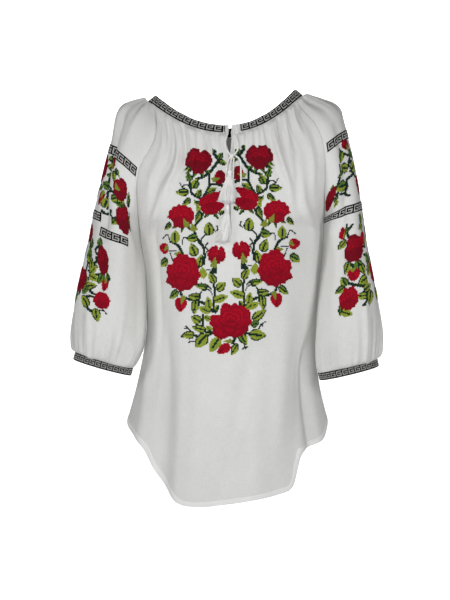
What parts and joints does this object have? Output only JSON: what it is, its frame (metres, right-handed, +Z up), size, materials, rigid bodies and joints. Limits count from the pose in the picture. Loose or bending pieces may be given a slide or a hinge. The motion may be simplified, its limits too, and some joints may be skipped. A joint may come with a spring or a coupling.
{
  "type": "embroidered peasant blouse",
  "caption": "Gathered raglan blouse of light cloth with a banded scoop neck, tasselled ties, full short-of-wrist sleeves on cuffs, cross-stitched roses and a shirt-tail hem.",
  "frame": {"origin": "middle of the neck opening, level with the neckline's two high points, where the wearer's shoulders hold the blouse", "axes": "+Z up, -Y out of the front, +X towards the wearer's left side"},
  "size_m": [0.5112, 0.2422, 0.693],
  "materials": {
    "cloth": "plain-woven off-white cotton, matt",
    "band": "close cross-stitch, black with a white key line, matt",
    "tie_cord": "twisted white cotton cord, matt",
    "tassel_yarn": "loose white cotton yarn, matt",
    "red_thread": "cross-stitch in stranded cotton, soft sheen",
    "green_thread": "cross-stitch in stranded cotton, soft sheen",
    "dark_thread": "cross-stitch in stranded cotton, soft sheen"
  },
  "bodies": {
    "root": {"front": "cloth", "back": "cloth", "left_sleeve": "cloth", "right_sleeve": "cloth", "neck_band": "band", "left_cuff": "band", "right_cuff": "band", "right_tie": "tie_cord", "left_tie": "tie_cord", "tie_loop": "tie_cord", "short_tail": "tie_cord", "long_tail": "tie_cord", "tie_knot": "tie_cord", "short_tassel": "tassel_yarn", "long_tassel": "tassel_yarn"}
  },
  "joints": []
}
